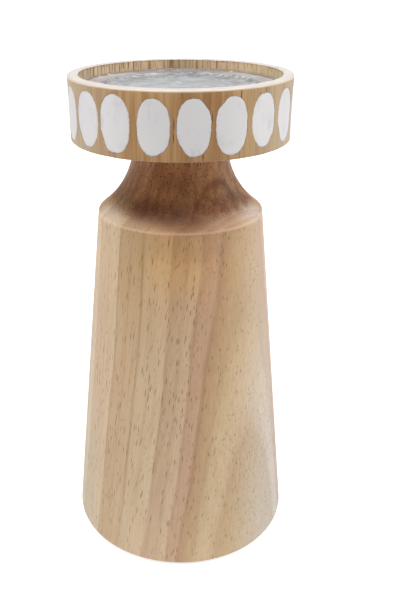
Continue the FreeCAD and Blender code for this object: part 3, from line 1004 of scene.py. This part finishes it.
def with_recess_wall(wood, colour, place, x, inside, depth):
    """The wall of the recess: paler wood, browner at the back, and painted shade in its corners,
    under the rim and down by the pan.
    """
    colour = wood.tint(inside, colour, WALL_TINT)
    colour = wood.mix(wood.times(inside, 0.65), colour, WALL_TONE)
    brown = wood.times(wood.spot(place, (2, 44, 226), (15, 12, 12), 0.9), inside)
    colour = wood.tint(brown, colour, WALL_BACK_TINT)
    right = wood.times(wood.between(x, *WALL_RIGHT_REACH), inside)
    colour = wood.tint(right, colour, WALL_RIGHT_TINT)
    # painted shade in the recess's corners: under the rim's inner edge and down by the pan
    corner_shade = wood.sum(
        wood.between(depth, *WALL_TOP_DEPTH, 0.35, 0.0),
        wood.between(depth, *WALL_BOTTOM_DEPTH, 0.0, 0.4),
    )
    return wood.mix(wood.times(corner_shade, inside), colour, CORNER_SHADE_TONE)


def wall_cracks(wood, place, x, inside, depth):
    """Fine cracks down the recess's wall from the rim, more on the left: 1 inside one."""
    crack = wood.figure(place, CRACK_SCALE)
    crack = wood.sum(crack, wood.between(x, *WALL_LEFT_REACH, 0.0, 0.045))
    reach = wood.between(wood.figure(place, CRACK_REACH_SCALE, 1.0), 0.30, 0.60, *CRACK_DEPTH)
    open_here = wood.between(wood.math("SUBTRACT", reach, depth), 0.0, 0.8)
    return wood.times(wood.between(crack, 0.54, 0.62), open_here, inside)


def with_end_grain_and_rim_highlight(wood, colour, place, away, depth):
    """Pale end grain on the rim, a pale outer edge that is sanded wood and painted highlight, and
    browner wood underneath.
    """
    facing_up = wood.facing_up()
    end_grain = wood.between(facing_up, 0.55, 0.9)
    underside = wood.between(facing_up, -0.55, -0.9)
    outer_edge = wood.times(
        wood.between(depth, *RIM_EDGE_DEPTH), wood.between(away, *RIM_EDGE_REACH)
    )
    speck = wood.noise(place, 1.6, 3.0)
    rim = wood.mix(wood.between(speck, 0.5, 0.9, 0.0, 0.5), RIM_TONE, RIM_SPECK_TONE)
    colour = wood.mix(wood.times(underside, 0.7), colour, UNDERSIDE_TONE)
    # the rim's outer edge: sanded wood and painted highlight
    colour = wood.mix(outer_edge, colour, RIM_EDGE_WEAR_AND_HIGHLIGHT_TONE)
    return wood.mix(end_grain, colour, rim)


def cup_wood():
    wood = Finish("cup_wood")
    place = wood.place()
    x, y, z = wood.split(place)
    away = wood.length(wood.join(x, y, 0.0))
    depth = wood.sum(wood.times(z, -1.0), node_box("cup")[1].z)
    colour = wood.ramp(wood.figure(place, CUP_FIGURE_SCALE, 3.0, 0.6), CUP_FIGURE_TONES)
    fibre = wood.figure(place, CUP_FIBRE_SCALE, 4.0, 0.6)
    colour = wood.mix(wood.between(fibre, 0.4, 0.8, 0.0, 0.28), colour, CUP_FIBRE_TONE)

    # painted sheen: paler towards the left and the right; and browner just right of the front
    sideways = wood.between(wood.math("ABSOLUTE", x), *CUP_SIDE_SHEEN_REACH, 0.0, 0.5)
    colour = wood.mix(sideways, colour, CUP_SIDE_SHEEN_TONE)
    front = wood.spot(place, (12, -47, 213), (9, 12, 40), 0.8)
    colour = wood.tint(front, colour, CUP_FRONT_TINT)

    # thin dark streaks and pores along the fibres
    streak = wood.figure(place, STREAK_SCALE)
    colour = wood.mix(wood.between(streak, 0.62, 0.72, 0.0, 0.5), colour, STREAK_TONE)
    pores = wood.pores(place, CUP_PORE_SCALE, 0.5, 1.1, 1.2)
    colour = wood.mix(wood.times(pores, 0.9), colour, CUP_PORE_TONE)

    inside = wood.between(away, *WALL_REACH, 1.0, 0.0)
    colour = with_recess_wall(wood, colour, place, x, inside, depth)
    cracks = wall_cracks(wood, place, x, inside, depth)
    colour = wood.mix(wood.times(cracks, 0.75), colour, CRACK_TONE)
    colour = with_end_grain_and_rim_highlight(wood, colour, place, away, depth)

    height = wood.sum(wood.times(fibre, 0.3), wood.times(wood.sum(pores, cracks), -1.0))
    return wood.finish(Base_Color=colour, Roughness=0.5, Normal=wood.bump(height, CUP_RELIEF))


# ---- other finishes

SMUDGE_SCALE = (0.18, 0.18, 0.1)
INLAY_TONE = tone(230, 227, 227)
SMUDGE_TONE = tone(210, 208, 211)
# The inlays are painted darker towards the left and the right: painted shade where the band turns
# from the light.
INLAY_SIDE_SHADE_REACH = (28, 47)
INLAY_SIDE_SHADE_TINT = (0.87, 0.87, 0.88)


def inlay_white():
    resin = Finish("inlay")
    place = resin.place()
    smudge = resin.figure(place, SMUDGE_SCALE, 4.0, 0.6)
    colour = resin.mix(resin.between(smudge, 0.5, 0.8), INLAY_TONE, SMUDGE_TONE)
    # painted shade on the inlays towards the left and the right
    sideways = resin.math("ABSOLUTE", resin.split(place)[0])
    colour = resin.tint(resin.between(sideways, *INLAY_SIDE_SHADE_REACH), colour, INLAY_SIDE_SHADE_TINT)
    grit = resin.noise(place, 3.0, 3.0)
    return resin.finish(Base_Color=colour, Roughness=0.55, Normal=resin.bump(grit, GRIT_RELIEF))


# The pan: tones of its cloudy metal from dark to pale, in the sunk middle and on the ring.
PAN_MIDDLE_TONES = (tone(144, 146, 148), tone(163, 164, 165))
PAN_RING_TONES = (tone(154, 148, 145), tone(171, 165, 162))
CLOUD_RANGE = (0.35, 0.65)
# The pan's back is painted darker: painted shade.
PAN_BACK_SHADE_TINT = (0.66, 0.68, 0.70)
PAN_EDGE_DARK_REACH = (PAN_RADIUS - 1.8, PAN_RADIUS - 0.6)
PAN_EDGE_DARK_TONE = tone(104, 92, 82)
BLOTCH_SCALE = (0.5, 0.8, 0.5)
# Tarnish is thickest on a circle this far inside the sunk middle's edge, in mm.
TARNISH_INSET = 3
TARNISH_TONE = tone(78, 74, 72)
RUB_AND_HIGHLIGHT_SCALE = (0.13, 0.34, 0.3)
RUB_AND_HIGHLIGHT_TONE = tone(226, 230, 232)


def pan_metal():
    metal = Finish("pan")
    place = metal.place()
    x, y = metal.split(place)[:2]
    away = metal.length(metal.join(x, y, 0.0))
    cloud = metal.between(metal.noise(place, 0.12, 5.0, 0.6), *CLOUD_RANGE)
    middle = metal.mix(cloud, *PAN_MIDDLE_TONES)
    ring = metal.mix(cloud, *PAN_RING_TONES)
    on_ring = metal.between(away, PAN_DISH_RADIUS, PAN_DISH_RADIUS + 3)
    colour = metal.mix(on_ring, middle, ring)

    # painted shade at the back, and darker against the cup's wall
    back = metal.spot(place, (0, 42, 223), (62, 17, 30), 1.0)
    colour = metal.tint(back, colour, PAN_BACK_SHADE_TINT)
    colour = metal.mix(metal.between(away, *PAN_EDGE_DARK_REACH, 0.0, 0.55), colour, PAN_EDGE_DARK_TONE)

    # tarnish round the edge of the sunk middle, and bright streaks across it: rubbed metal and
    # painted highlights
    blotch = metal.figure(place, BLOTCH_SCALE, 5.0, 0.65)
    from_edge = metal.math("ABSOLUTE", metal.sum(away, TARNISH_INSET - PAN_DISH_RADIUS))
    near_edge = metal.between(from_edge, 3.0, 14.0, 1.0, 0.25)
    thinned = metal.between(away, PAN_DISH_RADIUS, PAN_DISH_RADIUS + 4, 1, 0.6)
    tarnish = metal.times(metal.between(blotch, 0.44, 0.60), near_edge, thinned, 0.6)
    colour = metal.mix(tarnish, colour, TARNISH_TONE)
    # bright streaks: rubbed metal and painted highlights
    rub_and_highlight_cells = metal.cells(place, RUB_AND_HIGHLIGHT_SCALE)
    rub_and_highlight = metal.between(rub_and_highlight_cells.outputs["Distance"], 0.04, 0.36, 1.0, 0.0)
    lucky = metal.between(metal.split(rub_and_highlight_cells.outputs["Color"])[1], 0.55, 0.7)
    colour = metal.mix(metal.times(rub_and_highlight, lucky, 0.55), colour, RUB_AND_HIGHLIGHT_TONE)

    grain = metal.noise(place, 0.8, 5.0, 0.6)
    return metal.finish(
        Base_Color=colour, Metallic=0.7, Roughness=0.68, Normal=metal.bump(grain, PAN_RELIEF)
    )


STEEL_TONES = (tone(196, 192, 180), tone(150, 146, 136))
FELT_TONES = (tone(96, 82, 68), tone(60, 50, 42))


def screw_steel():
    steel = Finish("screw")
    colour = steel.mix(steel.noise(steel.place(), 4.0, 4.0), *STEEL_TONES)
    return steel.finish(Base_Color=colour, Metallic=1.0, Roughness=0.35)


def pad_felt():
    felt = Finish("felt")
    fuzz = felt.noise(felt.place(), 5.0, 6.0, 0.7)
    colour = felt.mix(fuzz, *FELT_TONES)
    return felt.finish(
        Base_Color=colour, Roughness=0.95, Sheen_Weight=0.4, Normal=felt.bump(fuzz, FELT_RELIEF)
    )


# ---- stage

# The floor is white paper that glows, most of all away from the candlestick, and fades out just
# in front of it. All in metres.
FLOOR_REACH = 4.0
FLOOR_FRONT = -0.16
FLOOR_FADE = 0.12
FLOOR_GLOW = (0.7, 1.0)
FLOOR_GLOW_REACH = (0.07, 0.6)
FLOOR_GREYS = ((0.50, 0.50, 0.50, 1), (0.48, 0.48, 0.48, 1))
WHITE = (1, 1, 1, 1)


def make_floor():
    bpy.ops.mesh.primitive_plane_add(size=2 * FLOOR_REACH, location=(0, 0, 0))
    floor = bpy.context.object
    floor.name = "floor"
    paper = Finish("floor_paper")
    place = paper.place()
    colour = paper.mix(paper.noise(place, 0.02), *FLOOR_GREYS)
    start, full = (along / MM for along in FLOOR_GLOW_REACH)
    glow = paper.between(paper.length(place), start, full, *FLOOR_GLOW)
    light = {"Emission_Color": WHITE, "Emission_Strength": glow}
    paper.finish(Base_Color=colour, Roughness=0.8, Specular_IOR_Level=0.2, **light)
    depth = paper.split(place)[1]
    paper.fade(paper.between(depth, (FLOOR_FRONT - FLOOR_FADE) / MM, FLOOR_FRONT / MM))
    floor.data.materials.append(paper.material)


def add_light(name, bearing, height, distance, width, power):
    """A square softbox aimed at the middle of the candlestick. Bearing 0 is the front."""
    data = bpy.data.lights.new(name, "AREA")
    data.shape = "SQUARE"
    data.size = width
    data.energy = power
    light = bpy.data.objects.new(name, data)
    up = math.radians(height)
    aim = (cad_box[0] + cad_box[1]) / 2
    out = Vector((*around(math.radians(bearing), math.cos(up)), math.sin(up)))
    light.location = aim + out * distance
    light.rotation_euler = (-out).to_track_quat("-Z", "Y").to_euler()
    scene.collection.objects.link(light)


# Each softbox: bearing from the front and height in degrees, distance and width in metres, watts.
SOFTBOXES = {
    "top": (0, 88, 1.1, 0.8, 5.6),
    "front": (0, 66, 1.1, 0.6, 6.4),
    "left": (-80, 62, 1.2, 0.45, 7.1),
    "right": (80, 62, 1.2, 0.45, 6.2),
    "right_low": (105, 25, 1.2, 0.7, 2.0),
    "back": (180, 25, 1.3, 1.2, 3.0),
}
# How brightly the studio round the candlestick lights it. The camera itself sees plain white.
AMBIENT = 0.235


def make_lights():
    for name, setting in SOFTBOXES.items():
        add_light("softbox_" + name, *setting)
    world = bpy.data.worlds.new("studio")
    world.use_nodes = True
    tree = world.node_tree
    dim = tree.nodes["Background"]
    dim.inputs["Strength"].default_value = AMBIENT
    white = tree.nodes.new("ShaderNodeBackground")
    for background in (dim, white):
        background.inputs["Color"].default_value = WHITE
    rays = tree.nodes.new("ShaderNodeLightPath")
    choose = tree.nodes.new("ShaderNodeMixShader")
    tree.links.new(rays.outputs["Is Camera Ray"], choose.inputs[0])
    tree.links.new(dim.outputs[0], choose.inputs[1])
    tree.links.new(white.outputs[0], choose.inputs[2])
    tree.links.new(choose.outputs[0], tree.nodes["World Output"].inputs["Surface"])
    scene.world = world


# The camera stands a little above the rim. Its place is in metres, its lens and sensor in
# millimetres, and its angles in radians.
CAMERA_PLACE = (0.0, -0.3182, 0.2709)
CAMERA_YAW = -0.0103
CAMERA_DOWN = 0.4429
CAMERA_ROLL = -0.0043
CAMERA_LENS = 42.65
CAMERA_SENSOR = 36.0
CAMERA_NEAR = 0.01
CAMERA_SHIFT = 0.0529


def make_camera():
    data = bpy.data.cameras.new("camera")
    data.sensor_width = CAMERA_SENSOR
    data.lens = CAMERA_LENS
    data.shift_x = CAMERA_SHIFT
    data.clip_start = CAMERA_NEAR
    camera = bpy.data.objects.new("camera", data)
    level = Vector((math.sin(CAMERA_YAW), math.cos(CAMERA_YAW), 0))
    right = Vector((math.cos(CAMERA_YAW), -math.sin(CAMERA_YAW), 0))
    up = Vector((0, 0, 1))
    forward = level * math.cos(CAMERA_DOWN) - up * math.sin(CAMERA_DOWN)
    over = up * math.cos(CAMERA_DOWN) + level * math.sin(CAMERA_DOWN)
    side = right * math.cos(CAMERA_ROLL) + over * math.sin(CAMERA_ROLL)
    top = over * math.cos(CAMERA_ROLL) - right * math.sin(CAMERA_ROLL)
    axes = Matrix((side, top, -forward)).transposed().to_4x4()
    camera.matrix_world = Matrix.Translation(CAMERA_PLACE) @ axes
    scene.collection.objects.link(camera)
    scene.camera = camera
    scene.view_settings.view_transform = "Standard"


# ---- putting it together

make_camera()
make_lights()
make_floor()

inlays = sorted(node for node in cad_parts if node.startswith("inlay"))
pads = sorted(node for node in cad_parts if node.startswith("felt_pad"))
cup_radius = node_box("cup")[1].x
white = inlay_white()
felt = pad_felt()

make_column(column_wood())
make_cup(cup_wood(), inlays)
for node in inlays:
    make_inlay(node, cup_radius, white)
make_pan(pan_metal())
for node in pads:
    make_pad(node, felt)

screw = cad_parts["dowel_screw"]
screw.data.materials.clear()
screw.data.materials.append(screw_steel())
